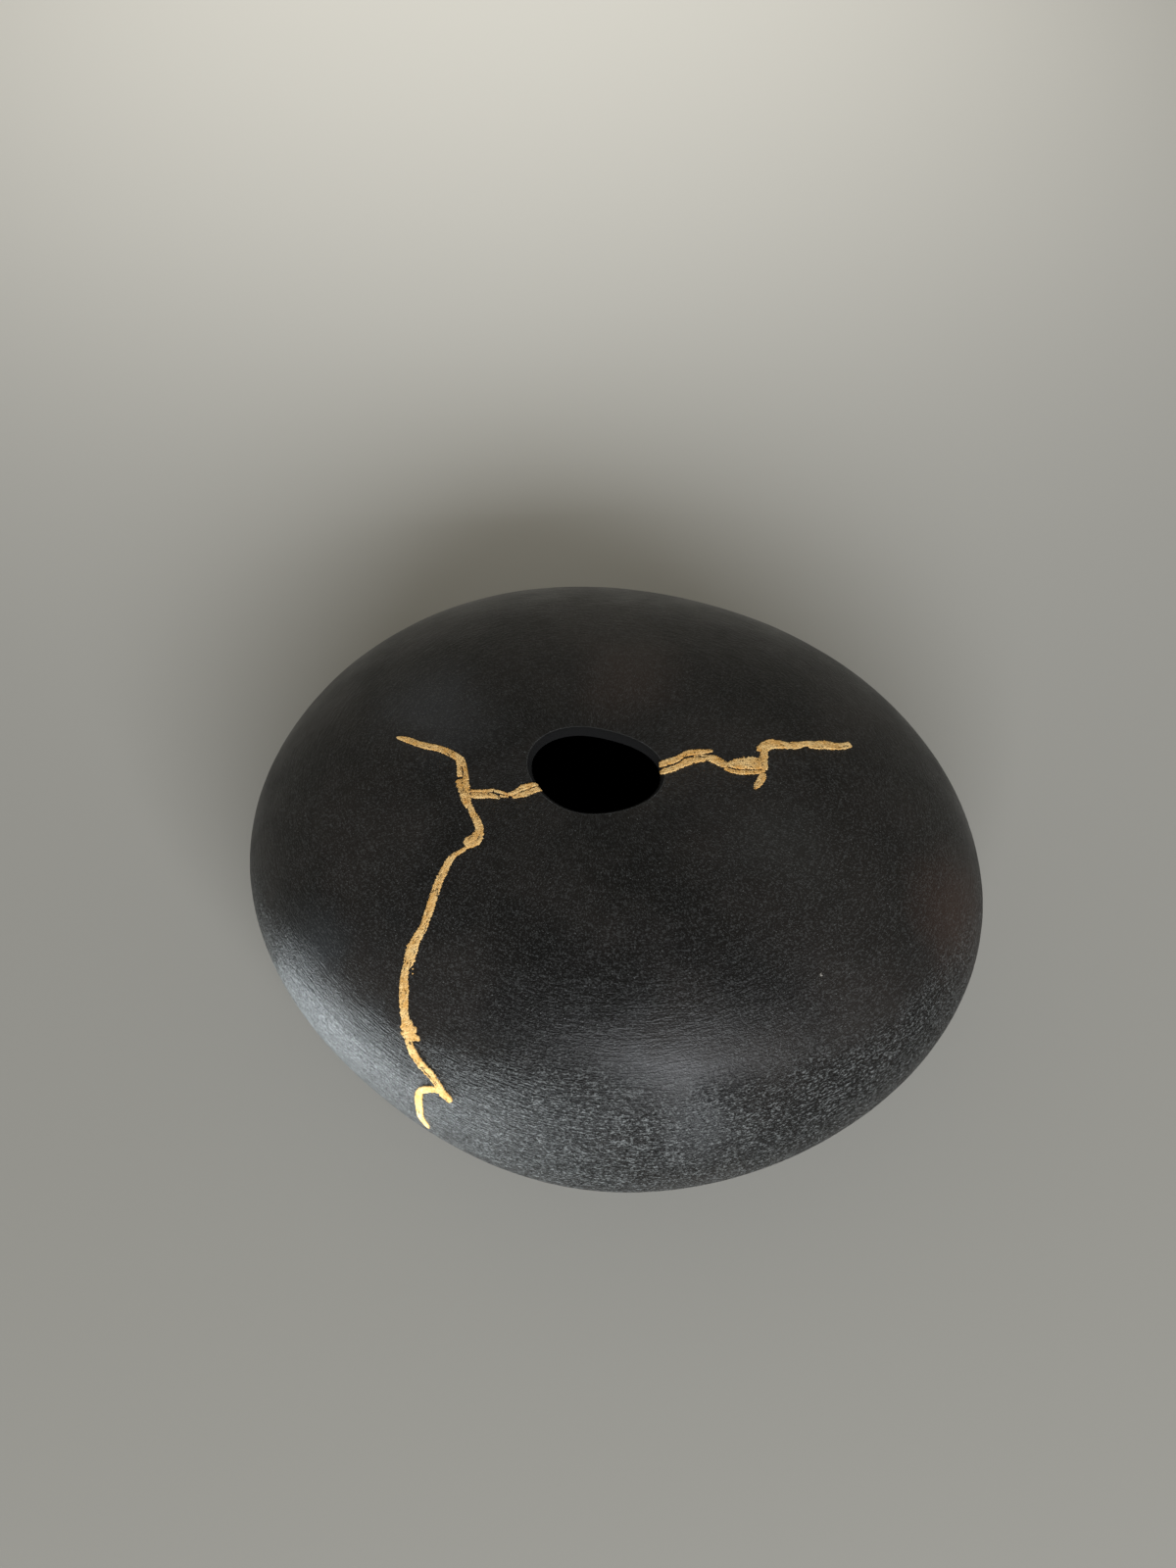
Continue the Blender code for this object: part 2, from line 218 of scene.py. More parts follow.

# Smoke clouds and marks in the clay, and two pale patches of painted sheen: place in the photograph,
# radius in mm, colour, strength
SMOKE_AND_SHEEN_PATCHES = (
    ((438, 724), 23, "#4D4F52", 0.30),
    ((640, 690), 22, "#4E3F38", 0.24),
    ((785, 850), 24, "#454644", 0.18),
    ((560, 1010), 26, "#050505", 0.5),
    ((985, 940), 26, "#5A4238", 0.22),
    ((620, 640), 30, "#46413C", 0.25),
    ((850, 900), 30, "#2E2B28", 0.30),
    # A painted highlight: the window's sheen on the lower front of the belly
    ((708, 1130), 25, "#7C7E80", 0.36),
    # Painted sheen: the pale bluish sheen along the lower left of the belly
    ((345, 1045), 34, "#5F666C", 0.20),
)
MARKS = (
    ((748, 1109), 7.0, "#0D0D0D", 0.75),
    ((722, 1112), 4.5, "#0D0D0D", 0.6),
    ((655, 1150), 6.5, "#101010", 0.6),
    ((668, 1172), 5.0, "#101010", 0.5),
    ((838, 995), 0.45, "#A8A49C", 0.8),
    ((825, 1133), 4.0, "#0C0C0C", 0.7),
)

# How a patch fades into the clay: how much of a pattern is added to the distance from its middle, the
# sums at which it is full and gone, all in its own radii, and how the fade is eased
SMOKE_AND_SHEEN_EDGE = (0.8, 0.3, 1.7, "SMOOTHSTEP")
MARK_EDGE = (6.0, 4.0, 4.8, "LINEAR")

# Named inputs of the tree that lays a stroke
STROKE_INPUTS = ("Length", "Steps", "Seed", "End length", "Low", "High", "Sunk")

# Sizes of the clay's own patterns, in metres. Of three numbers, two run round and the last runs down.
DENT_SIZE = 0.045
FLAT_SIZE = (0.012, 0.012, 0.005)
RUB_SIZE = (0.0013, 0.0013, 0.0007)
STREAK_SIZE = (0.008, 0.008, 0.0009)
GRAIN_SIZE = 0.0005
CLOUD_SIZE = 0.05
WORN_SIZE = 0.018

# The hand's dents and flats start this far above the underside, which stays flat
FLAT_FOOT = 0.006

# Above the first height the clay is well burnished, and below the second it is drier and paler, with
# painted glints of the sheen in its pale specks. The tilt lowers both heights towards the back, and the
# smoke's clouding lowers them by up to the shift.
BURNISHED_ABOVE = 0.092
DRY_AND_GLINT_BELOW = 0.074
DRY_AND_GLINT_TILT = (0, 0.2, 1)
CLOUD_SHIFT = 0.028

# How strong the rubbed grain still is on the burnished clay, and how pale it gets on the drier clay,
# where the paleness is partly painted glints of the sheen
BURNISHED_SHARE = 0.12
SPECK_AND_GLINT_SHARE = 0.95

# Weights: of the long streaks in the rubbed grain, of that grain in the ragged edge inside the lip and in
# the clay's roughness, and of the crumpled leaf in its pores
STREAK_WEIGHT = 0.25
RAGGED_WEIGHT = 0.6
RUB_DULLNESS = 0.08
PORE_WEIGHT = 0.5

# Roughness of the unburnished clay inside
INSIDE_DULLNESS = 0.95

# Depths of the relief that only the shader draws: the clay's grain, rubbed strokes and long streaks, and
# the crumpled leaf
GRAIN_DEPTH = 0.0004
RUB_DEPTH = 0.0022
STREAK_DEPTH = 0.0012
CRUMPLE_DEPTH = 0.0006

# Sizes of the gold's patterns in metres, and how far its edge is torn and how narrow its rounded ends
# get, as shares of its width
TEAR_SIZE = 0.0007
TEAR_SHARE = 0.36
END_PINCH = 0.8
FOLD_LENGTH = 0.0032
FOLD_WIDTH = 0.0008
LEAF_SIZE = 0.004
CRUMPLE_SIZE = 0.0006

# The higher this even power, the steeper a stroke's flanks
FLANK_POWER = 8.0

# Steps through a pattern, so that a stroke's two edges differ, and so do any two strokes
EDGE_STEP = 7.0
SEED_STEP = 3.7

# Points nearer than this are one point
CLOSE_ENOUGH = 0.000004

# The floor's side, and from where to where it gets paler towards the back; the darker front is painted shade
STAGE_SIZE = 4.0
FLOOR_SHADE_FADE = (-0.25, 0.6)

# The shapes of the lights, and for each its name, kind, place, degrees about X and Z, power and tint. The
# last lights only the floor behind the vase.
WINDOW = {"shape": "RECTANGLE", "size": 1.7, "size_y": 0.6}
LOW_FILL = {"shape": "RECTANGLE", "size": 0.08, "size_y": 0.28}
BACKDROP = {"spot_size": radians(56), "spot_blend": 1.0, "shadow_soft_size": 0.2}
LIGHTS = (
    ("window", "AREA", (0.25, -1.9, 1.0), (63, 7.5), 60, "#F6F9FF", WINDOW),
    ("low_fill", "AREA", (-0.120, -0.165, 0.003), (180, 38), 0.64, "#EEF7FB", LOW_FILL),
    ("backdrop", "SPOT", (-0.1, 1.35, 1.5), (-13, 0), 80, "#FFFCF6", BACKDROP),
)

# The even light all round: its colours near the horizon and straight above, and its strength
SKY_LOW = "#B2AEA2"
SKY_HIGH = "#87847C"
SKY_STRENGTH = 0.64

# The kinds of node that are used most
MATH = "ShaderNodeMath"
VECTOR = "ShaderNodeVectorMath"
JOINED = "ShaderNodeCombineXYZ"
REMAP = "ShaderNodeMapRange"
NOISE = "ShaderNodeTexNoise"
MIX = "ShaderNodeMix"
ATTRIBUTE = "GeometryNodeInputNamedAttribute"


def linear(hex_colour):
    """A colour given as sRGB hex, in the linear values that Blender works in."""
    channels = [int(hex_colour[i:i + 2], 16) / 255 for i in (1, 3, 5)]
    return tuple(c / 12.92 if c <= 0.04045 else ((c + 0.055) / 1.055) ** 2.4 for c in channels) + (1.0,)


def add_node(tree, kind, inputs=None, operation=None, **settings):
    """Adds one node. An input that is given a node or a socket is linked to it, and any other is set."""
    node = tree.nodes.new(kind)
    if operation is not None:
        node.operation = operation
    for name, value in settings.items():
        setattr(node, name, value)
    for key, value in (inputs or {}).items():
        if isinstance(value, bpy.types.Node):
            value = value.outputs[0]
        if isinstance(value, bpy.types.NodeSocket):
            tree.links.new(value, node.inputs[key])
        else:
            node.inputs[key].default_value = value
    return node


def new_geometry_tree(name, sizes):
    """A geometry tree with a mesh going through it and a float input for each named size."""
    tree = bpy.data.node_groups.new(name, "GeometryNodeTree")
    tree.interface.new_socket("Geometry", in_out="INPUT", socket_type="NodeSocketGeometry")
    tree.interface.new_socket("Geometry", in_out="OUTPUT", socket_type="NodeSocketGeometry")
    for size in sizes:
        tree.interface.new_socket(size, in_out="INPUT", socket_type="NodeSocketFloat")
    return tree


def apply_tree(piece, tree, sizes):
    """Runs a tree on a piece with its sizes, and keeps the result as the piece's plain mesh."""
    modifier = piece.modifiers.new(tree.name, "NODES")
    modifier.node_group = tree
    for item in tree.interface.items_tree:
        if item.in_out == "INPUT" and item.name in sizes:
            modifier[item.identifier] = sizes[item.name]
    evaluated = piece.evaluated_get(bpy.context.evaluated_depsgraph_get())
    shaped = bpy.data.meshes.new_from_object(evaluated)
    piece.modifiers.remove(modifier)
    piece.data = shaped
    shaped.name = piece.name
    return piece


def put_in_scene(name, data):
    """A new object in the scene, for a mesh, a light or a camera."""
    thing = bpy.data.objects.new(name, data)
    bpy.context.scene.collection.objects.link(thing)
    return thing


def undercut_depth(sizes):
    """How far under the belly the lower wall would close, if the underside didn't cut it off."""
    share = (sizes.foot_radius / sizes.belly_radius) ** UNDERCUT_FULLNESS
    return sizes.belly_height / sqrt(1 - share)


def section_rows(sizes):
    """The vessel's section as (fall, over, closing), all round it from the underside's middle.

    Fall is in radians, over is the turn over the lip, and closing shrinks a row to the middle.
    """
    depth = undercut_depth(sizes)
    foot = pi / 2 + asin(sizes.belly_height / depth)
    floor = pi / 2 + asin((sizes.belly_height - sizes.floor) / (depth - sizes.wall))
    corners = [(foot, 0, 0), (foot, 0, 1), (pi / 2, 0, 1), (0, 0, 1)]
    corners += [(0, pi, 1), (pi / 2, pi, 1), (floor, pi, 1), (floor, pi, 0)]
    rows = [corners[0]]
    for first, last, steps in zip(corners, corners[1:], SECTION_ROWS):
        for i in range(1, steps + 1):
            rows.append(tuple(a + (b - a) * i / steps for a, b in zip(first, last)))
    return rows


def clay_sheet(sizes):
    """The flat sheet that the vessel is shaped from: a grid with each point's place on the wall."""
    rows = section_rows(sizes)
    points, faces, angles, flow = [], [], [], []
    for i, (fall, over, closing) in enumerate(rows):
        reach = sizes.belly_radius * closing
        for step in range(AZIMUTH_STEPS + 1):
            azimuth = 2 * pi * step / AZIMUTH_STEPS
            points.append((step * MM, i * MM, 0))
            angles.append((azimuth, fall, over, closing))
            flow += (reach * cos(azimuth), reach * sin(azimuth), FALL_LENGTH * (fall + over))
    width = AZIMUTH_STEPS + 1
    for i in range(len(rows) - 1):
        for step in range(AZIMUTH_STEPS):
            corner = i * width + step
            faces.append((corner, corner + 1, corner + width + 1, corner + width))
    mesh = bpy.data.meshes.new("vase_body_looks")
    mesh.from_pydata(points, [], faces)
    for name, numbers in zip(PLACE_NAMES, zip(*angles)):
        mesh.attributes.new(name, "FLOAT", "POINT").data.foreach_set("value", numbers)
    mesh.attributes.new("clay_flow", "FLOAT_VECTOR", "POINT").data.foreach_set("vector", flow)
    return put_in_scene("vase_body_looks", mesh)


def lobed_reach(tree, azimuth, reach, lobes):
    """Adds an uneven round's lobes to a reach."""
    for count, height, turn in lobes:
        phase = add_node(tree, MATH, {0: azimuth, 1: radians(turn)}, "SUBTRACT")
        wave = add_node(tree, MATH, {0: phase, 1: count}, "MULTIPLY")
        crest = add_node(tree, MATH, {0: wave}, "COSINE")
        reach = add_node(tree, MATH, {0: crest, 1: height, 2: reach}, "MULTIPLY_ADD")
    return reach


def depth_in_wall(tree, given, over):
    """How far inside the outer wall a place lies: none outside, and the whole wall on the inner side."""
    turned = add_node(tree, MATH, {0: over}, "COSINE")
    share = add_node(tree, MATH, {0: 1.0, 1: turned}, "SUBTRACT")
    half_wall = add_node(tree, MATH, {0: given.outputs["Wall"], 1: 0.5}, "MULTIPLY")
    return add_node(tree, MATH, {0: share, 1: half_wall}, "MULTIPLY")


def mouth_reach(tree, given, azimuth, over):
    """How far the lip stands from the mouth's middle: an uneven oval, rounded over the lip."""
    turned = add_node(tree, MATH, {0: azimuth, 1: given.outputs["Mouth turn"]}, "SUBTRACT")
    along = add_node(tree, MATH, {0: turned}, "COSINE")
    beside = add_node(tree, MATH, {0: turned}, "SINE")
    along = add_node(tree, MATH, {0: along, 1: given.outputs["Mouth length"]}, "DIVIDE")
    beside = add_node(tree, MATH, {0: beside, 1: given.outputs["Mouth width"]}, "DIVIDE")
    oval = add_node(tree, JOINED, {0: along, 1: beside})
    spread_out = add_node(tree, VECTOR, {0: oval}, "LENGTH").outputs["Value"]
    reach = add_node(tree, MATH, {0: 0.5, 1: spread_out}, "DIVIDE")
    reach = lobed_reach(tree, azimuth, reach, MOUTH_LOBES)
    bulge = add_node(tree, MATH, {0: over}, "SINE")
    bulge = add_node(tree, MATH, {0: 1.0, 1: bulge}, "SUBTRACT")
    return add_node(tree, MATH, {0: bulge, 1: given.outputs["Lip round"], 2: reach}, "MULTIPLY_ADD")


def place_on_wall(tree, given, azimuth, fall, over, closing):
    """The point of the vessel at an azimuth, a fall and a turn over the lip, closed in to the middle."""
    inside = depth_in_wall(tree, given, over)
    east = add_node(tree, MATH, {0: azimuth}, "COSINE")
    north = add_node(tree, MATH, {0: azimuth}, "SINE")
    away = add_node(tree, JOINED, {0: east, 1: north})
    upper = add_node(tree, MATH, {0: fall, 1: pi / 2}, "MINIMUM")
    lower = add_node(tree, MATH, {0: fall, 1: upper}, "SUBTRACT")

    lip = mouth_reach(tree, given, azimuth, over)
    crown = add_node(tree, VECTOR, {0: away, 3: lip}, "SCALE")
    crown = add_node(tree, VECTOR, {0: crown, 1: (*MOUTH_OFFSET, 0)}, "ADD")
    round_belly = lobed_reach(tree, azimuth, given.outputs["Belly radius"], BELLY_LOBES)
    belly = add_node(tree, MATH, {0: round_belly, 1: inside}, "SUBTRACT")
    belly = add_node(tree, VECTOR, {0: away, 3: belly}, "SCALE")
    share = add_node(tree, MATH, {0: upper}, "SINE")
    share = add_node(tree, MATH, {0: share, 1: 2 / SHOULDER_FULLNESS}, "POWER")
    outline = add_node(tree, MIX, {0: share, 4: crown, 5: belly}, data_type="VECTOR").outputs[1]
    tuck = add_node(tree, MATH, {0: lower}, "COSINE")
    tuck = add_node(tree, MATH, {0: tuck, 1: 2 / UNDERCUT_FULLNESS}, "POWER")
    tuck = add_node(tree, MATH, {0: tuck, 1: closing}, "MULTIPLY")
    outline = add_node(tree, VECTOR, {0: outline, 3: tuck}, "SCALE")

    rise = add_node(tree, MATH, {0: given.outputs["Shoulder rise"], 1: inside}, "SUBTRACT")
    lift = add_node(tree, MATH, {0: upper}, "COSINE")
    top = add_node(tree, MATH, {0: rise, 1: lift, 2: given.outputs["Belly height"]}, "MULTIPLY_ADD")
    depth = add_node(tree, MATH, {0: given.outputs["Undercut depth"], 1: inside}, "SUBTRACT")
    drop = add_node(tree, MATH, {0: lower}, "SINE")
    drop = add_node(tree, MATH, {0: drop, 1: depth}, "MULTIPLY")
    height = add_node(tree, MATH, {0: top, 1: drop}, "SUBTRACT")
    stand = add_node(tree, JOINED, {2: height})
    return add_node(tree, VECTOR, {0: outline, 1: stand}, "ADD")


def hand_relief(tree, given, over):
    """How far the hand's work moves the outside, always inwards: broad dents, and rubbed flats."""
    place = add_node(tree, "GeometryNodeInputPosition")
    flow = add_node(tree, ATTRIBUTE, {"Name": "clay_flow"}, data_type="FLOAT_VECTOR")
    dents = add_node(tree, NOISE, {"Vector": place, "Scale": 1 / DENT_SIZE, "Detail": 1.0})
    flats = add_node(tree, VECTOR, {0: flow, 1: [1 / size for size in FLAT_SIZE]}, "MULTIPLY")
    flats = add_node(tree, NOISE, {"Vector": flats, "Scale": 1.0, "Detail": 1.0})
    dents = add_node(tree, MATH, {0: dents, 1: given.outputs["Dent depth"]}, "MULTIPLY")
    depth = add_node(tree, MATH, {0: flats, 1: given.outputs["Flat depth"], 2: dents}, "MULTIPLY_ADD")
    height = add_node(tree, "ShaderNodeSeparateXYZ", {0: place}).outputs["Z"]
    clear_of_foot = add_node(tree, REMAP, {"Value": height, "From Max": FLAT_FOOT})
    outside = add_node(tree, REMAP, {"Value": over, "From Max": pi / 2, "To Min": 1.0, "To Max": 0.0})
    depth = add_node(tree, MATH, {0: depth, 1: clear_of_foot}, "MULTIPLY")
    depth = add_node(tree, MATH, {0: depth, 1: outside}, "MULTIPLY")
    return add_node(tree, MATH, {0: depth, 1: -1.0}, "MULTIPLY")


def finish_tree(tree, mesh, material):
    """Ends a tree: smooth, real and in its material."""
    smooth = add_node(tree, "GeometryNodeSetShadeSmooth", {"Geometry": mesh})
    real = add_node(tree, "GeometryNodeRealizeInstances", {"Geometry": smooth})
    dressed = add_node(tree, "GeometryNodeSetMaterial", {"Geometry": real, "Material": material})
    add_node(tree, "NodeGroupOutput", {"Geometry": dressed})
    return tree


def vessel_tree(sizes, clay):
    """Bends the flat sheet into the vessel, closes it, and lays the hand's low relief on its outside."""
    tree = new_geometry_tree("Shape the vessel", sizes)
    given = add_node(tree, "NodeGroupInput")
    angles = [add_node(tree, ATTRIBUTE, {"Name": name}, data_type="FLOAT") for name in PLACE_NAMES]
    over = angles[2]
    place = place_on_wall(tree, given, *angles)
    bent = add_node(tree, "GeometryNodeSetPosition", {"Geometry": given, "Position": place})
    closed = add_node(tree, "GeometryNodeMergeByDistance", {"Geometry": bent, "Distance": CLOSE_ENOUGH})
    normal = add_node(tree, "GeometryNodeInputNormal")
    relief = add_node(tree, VECTOR, {0: normal, 3: hand_relief(tree, given, over)}, "SCALE")
    worked = add_node(tree, "GeometryNodeSetPosition", {"Geometry": closed, "Offset": relief})
    return finish_tree(tree, worked, clay)


def stroke_side(tree, given, run, side):
    """The share of its width that a stroke has at a place, because its two edges are torn."""
    along = add_node(tree, MATH, {0: run, 1: given.outputs["Length"]}, "MULTIPLY")
    torn_step = add_node(tree, MATH, {0: along, 1: TEAR_SIZE}, "DIVIDE")
    edge = add_node(tree, MATH, {0: side}, "SIGN")
    edge = add_node(tree, MATH, {0: edge, 1: EDGE_STEP}, "MULTIPLY")
    at_edge = add_node(tree, JOINED, {0: torn_step, 1: edge, 2: given.outputs["Seed"]})
    torn = add_node(tree, NOISE, {"Vector": at_edge, "Scale": 1.0, "Detail": 3.0, "Roughness": 0.7})
    share = {"Value": torn, "From Min": 0.25, "From Max": 0.75}
    share |= {"To Min": 1 - TEAR_SHARE, "To Max": 1 + TEAR_SHARE}
    return add_node(tree, REMAP, share)


def end_round(tree, given, run):
    """Rises from 0 at either end of a stroke to 1 a little way in, as a quarter round."""
    left = add_node(tree, MATH, {0: 1.0, 1: run}, "SUBTRACT")
    nearest = add_node(tree, MATH, {0: run, 1: left}, "MINIMUM")
    nearest = add_node(tree, MATH, {0: nearest, 1: given.outputs["Length"]}, "MULTIPLY")
    gone = {"Value": nearest, "From Max": given.outputs["End length"], "To Min": 1.0, "To Max": 0.0}
    gone = add_node(tree, REMAP, gone)
    square = add_node(tree, MATH, {0: gone, 1: gone}, "MULTIPLY")
    rest = add_node(tree, MATH, {0: 1.0, 1: square}, "SUBTRACT")
    return add_node(tree, MATH, {0: rest}, "SQRT")


def leaf_folds(tree, given, run, side, half_width):
    """The long folds of the leaf, which run along a stroke."""
    along = add_node(tree, MATH, {0: run, 1: given.outputs["Length"]}, "MULTIPLY")
    along = add_node(tree, MATH, {0: along, 1: FOLD_LENGTH}, "DIVIDE")
    beside = add_node(tree, MATH, {0: side, 1: half_width}, "MULTIPLY")
    beside = add_node(tree, MATH, {0: beside, 1: FOLD_WIDTH}, "DIVIDE")
    place = add_node(tree, JOINED, {0: along, 1: beside, 2: given.outputs["Seed"]})
    return add_node(tree, NOISE, {"Vector": place, "Scale": 1.0, "Detail": 3.0, "Roughness": 0.7})


def seam_tree(vessel, gold):
    """Lays one stroke of gold: a strip along its guide, draped on the vessel, domed and closed under."""
    tree = new_geometry_tree("Lay a stroke of gold", STROKE_INPUTS)
    given = add_node(tree, "NodeGroupInput")
    guide = add_node(tree, "GeometryNodeMeshToCurve", {0: given})
    strip = {"Size X": 1.0, "Size Y": 1.0}
    strip |= {"Vertices X": given.outputs["Steps"], "Vertices Y": STROKE_ACROSS + 1}
    strip = add_node(tree, "GeometryNodeMeshGrid", strip)
    spot = add_node(tree, "ShaderNodeSeparateXYZ", {0: strip.outputs["UV Map"]})
    run = spot.outputs["X"]
    side = add_node(tree, MATH, {0: spot.outputs["Y"], 1: 2.0, 2: -1.0}, "MULTIPLY_ADD")

    half = add_node(tree, ATTRIBUTE, {"Name": "half_width"}, data_type="FLOAT")
    on_guide = {"Curves": guide, "Value": half, "Factor": run}
    on_guide = add_node(tree, "GeometryNodeSampleCurve", on_guide, mode="FACTOR", data_type="FLOAT")
    wall = add_node(tree, "GeometryNodeObjectInfo", {"Object": vessel}).outputs["Geometry"]
    facing = add_node(tree, "GeometryNodeInputNormal")
    over_wall = {"Mesh": wall, "Value": facing, "Sample Position": on_guide.outputs["Position"]}
    over_wall = add_node(tree, "GeometryNodeSampleNearestSurface", over_wall, data_type="FLOAT_VECTOR")
    across = add_node(tree, VECTOR, {0: over_wall, 1: on_guide.outputs["Tangent"]}, "CROSS_PRODUCT")
    across = add_node(tree, VECTOR, {0: across}, "NORMALIZE")

    rounded = end_round(tree, given, run)
    pinch = add_node(tree, REMAP, {"Value": rounded, "To Min": END_PINCH})
    out = add_node(tree, MATH, {0: side, 1: on_guide.outputs["Value"]}, "MULTIPLY")
    out = add_node(tree, MATH, {0: out, 1: stroke_side(tree, given, run, side)}, "MULTIPLY")
    out = add_node(tree, MATH, {0: out, 1: pinch}, "MULTIPLY")
    out = add_node(tree, VECTOR, {0: across, 3: out}, "SCALE")
    spread_flat = add_node(tree, VECTOR, {0: on_guide.outputs["Position"], 1: out}, "ADD")
    laid = {0: wall, "Sample Position": spread_flat}
    laid = add_node(tree, "GeometryNodeProximity", laid, target_element="FACES").outputs["Position"]
    upward = {"Mesh": wall, "Value": facing, "Sample Position": laid}
    upward = add_node(tree, "GeometryNodeSampleNearestSurface", upward, data_type="FLOAT_VECTOR")

    flank = add_node(tree, MATH, {0: side, 1: FLANK_POWER}, "POWER")
    flank = add_node(tree, MATH, {0: 1.0, 1: flank}, "SUBTRACT")
    dome = add_node(tree, MATH, {0: flank}, "SQRT")
    dome = add_node(tree, MATH, {0: dome, 1: rounded}, "MULTIPLY")
    folds = leaf_folds(tree, given, run, side, on_guide.outputs["Value"])
    lift = {"Value": folds, "From Min": 0.2, "From Max": 0.8}
    lift |= {"To Min": given.outputs["Low"], "To Max": given.outputs["High"]}
    lift = add_node(tree, REMAP, lift)
    sunk = add_node(tree, MATH, {0: given.outputs["Sunk"], 1: -1.0}, "MULTIPLY")
    whole = add_node(tree, MATH, {0: lift, 1: sunk}, "SUBTRACT")
    top = add_node(tree, MATH, {0: dome, 1: whole, 2: sunk}, "MULTIPLY_ADD")
    bottom = add_node(tree, MATH, {0: dome, 1: 0.5, 2: 1.0}, "MULTIPLY_ADD")
    bottom = add_node(tree, MATH, {0: bottom, 1: sunk}, "MULTIPLY")
    folded = {"Geometry": strip.outputs["Mesh"], "Name": "fold", "Value": folds}
    folded = add_node(tree, "GeometryNodeStoreNamedAttribute", folded, data_type="FLOAT")
    skins = []
    for height in (top, bottom):
        raised = add_node(tree, VECTOR, {0: upward, 1: height, 2: laid}, "MULTIPLY_ADD")
        skins.append(add_node(tree, "GeometryNodeSetPosition", {"Geometry": folded, "Position": raised}))
    turned = add_node(tree, "GeometryNodeFlipFaces", {0: skins[1]})
    both = add_node(tree, "GeometryNodeJoinGeometry", {0: skins[0]})
    tree.links.new(turned.outputs[0], both.inputs[0])
    closed = add_node(tree, "GeometryNodeMergeByDistance", {"Geometry": both, "Distance": CLOSE_ENOUGH})
    return finish_tree(tree, closed, gold)


def sight(x, y):
    """The direction in which the photograph's camera sees a pixel."""
    aim = Vector(((x - PHOTO_WIDTH / 2) / FOCAL_PIXELS, (PHOTO_HEIGHT / 2 - y) / FOCAL_PIXELS, -1))
    aim.rotate(Euler((radians(CAMERA_TILT), 0, 0)))
    return aim


def pixel_of(place):
    """The pixel in which the photograph's camera sees a place."""
    seen = place - Vector(CAMERA_PLACE)
    seen.rotate(Euler((radians(-CAMERA_TILT), 0, 0)))
    x = PHOTO_WIDTH / 2 - FOCAL_PIXELS * seen.x / seen.z
    return Vector((x, PHOTO_HEIGHT / 2 + FOCAL_PIXELS * seen.y / seen.z))


def skin_of(vessel):
    """The vessel's surface, ready for sight lines."""
    mesh = vessel.data
    faces = [tuple(face.vertices) for face in mesh.polygons]
    return BVHTree.FromPolygons([point.co.copy() for point in mesh.vertices], faces)


def on_skin(skin, x, y):
    """Where the camera's sight line through a pixel meets the vessel, and the wall's direction there."""
    place, normal, _face, _reach = skin.ray_cast(Vector(CAMERA_PLACE), sight(x, y))
    if place is None:
        raise RuntimeError(f"The sight line through {x}, {y} misses the vessel")
    return place, normal


def smooth_route(readings):
    """The readings of a stroke joined by a smooth curve through them, in even small steps."""
    known = [Vector(reading) for reading in readings]
    known = [2 * known[0] - known[1], *known, 2 * known[-1] - known[-2]]
    route = []
    for before, start, end, after in zip(known, known[1:], known[2:], known[3:]):
        steps = max(1, round((end - start).xy.length / STROKE_STEP))
        for i in range(steps):
            t = i / steps
            bend = start + 0.5 * t * ((end - before) + t * (2 * before - 5 * start + 4 * end - after
                   + t * (3 * start - before - 3 * end + after)))
            route.append(bend)
    route.append(known[-2])
    return route


def stroke_guide(skin, readings):
    """A stroke's guide line on the wall, with its half width in metres at each point."""
    route = smooth_route(readings)
    places, normals = zip(*(on_skin(skin, reading.x, reading.y) for reading in route))
    halves = []
    for i, (place, normal, reading) in enumerate(zip(places, normals, route)):
        ahead = places[min(i + 1, len(places) - 1)] - places[max(i - 1, 0)]
        across = normal.cross(ahead).normalized() * MM
        seen_across = pixel_of(place + across) - pixel_of(place - across)
        seen_ahead = (pixel_of(place + ahead) - pixel_of(place)).normalized()
        pixels_each_mm = abs(seen_across.cross(seen_ahead)) / 2
        halves.append(max(reading.z, NARROWEST) / 2 / max(pixels_each_mm, LEAST_PIXELS_EACH_MM) * MM)
    links = [(i, i + 1) for i in range(len(places) - 1)]
    mesh = bpy.data.meshes.new("stroke_guide")
    mesh.from_pydata(places, links, [])
    mesh.attributes.new("half_width", "FLOAT", "POINT").data.foreach_set("value", halves)
    length = sum((b - a).length for a, b in zip(places, places[1:]))
    return put_in_scene("stroke_guide", mesh), length


def lay_seam(name, strokes, sizes, vessel, gold):
    """One seam: each of its strokes is laid in turn, and all are kept as one piece."""
    skin = skin_of(vessel)
    tree = seam_tree(vessel, gold)
    seam = bmesh.new()
    for seed, readings in enumerate(strokes):
        guide, length = stroke_guide(skin, readings)
        values = {
            "Length": length,
            "Steps": max(FEWEST_STEPS, round(length / sizes.stroke_fineness)),
            "Seed": SEED_STEP * seed,
            "End length": sizes.stroke_end,
            "Sunk": sizes.gold_sunk,
            "Low": sizes.gold_height - sizes.gold_wrinkle,
            "High": sizes.gold_height + sizes.gold_wrinkle,
        }
        apply_tree(guide, tree, values)
        seam.from_mesh(guide.data)
        bpy.data.objects.remove(guide)
    mesh = bpy.data.meshes.new(name)
    seam.to_mesh(mesh)
    seam.free()
    mesh.materials.append(gold)
    return put_in_scene(name, mesh)


def new_material(name):
    """An empty material with its shader, and the node tree that they are in."""
    material = bpy.data.materials.new(name)
    material.use_nodes = True
    tree = material.node_tree
    tree.nodes.clear()
    shader = add_node(tree, "ShaderNodeBsdfPrincipled")
    add_node(tree, "ShaderNodeOutputMaterial", {"Surface": shader})
    return material, tree, shader


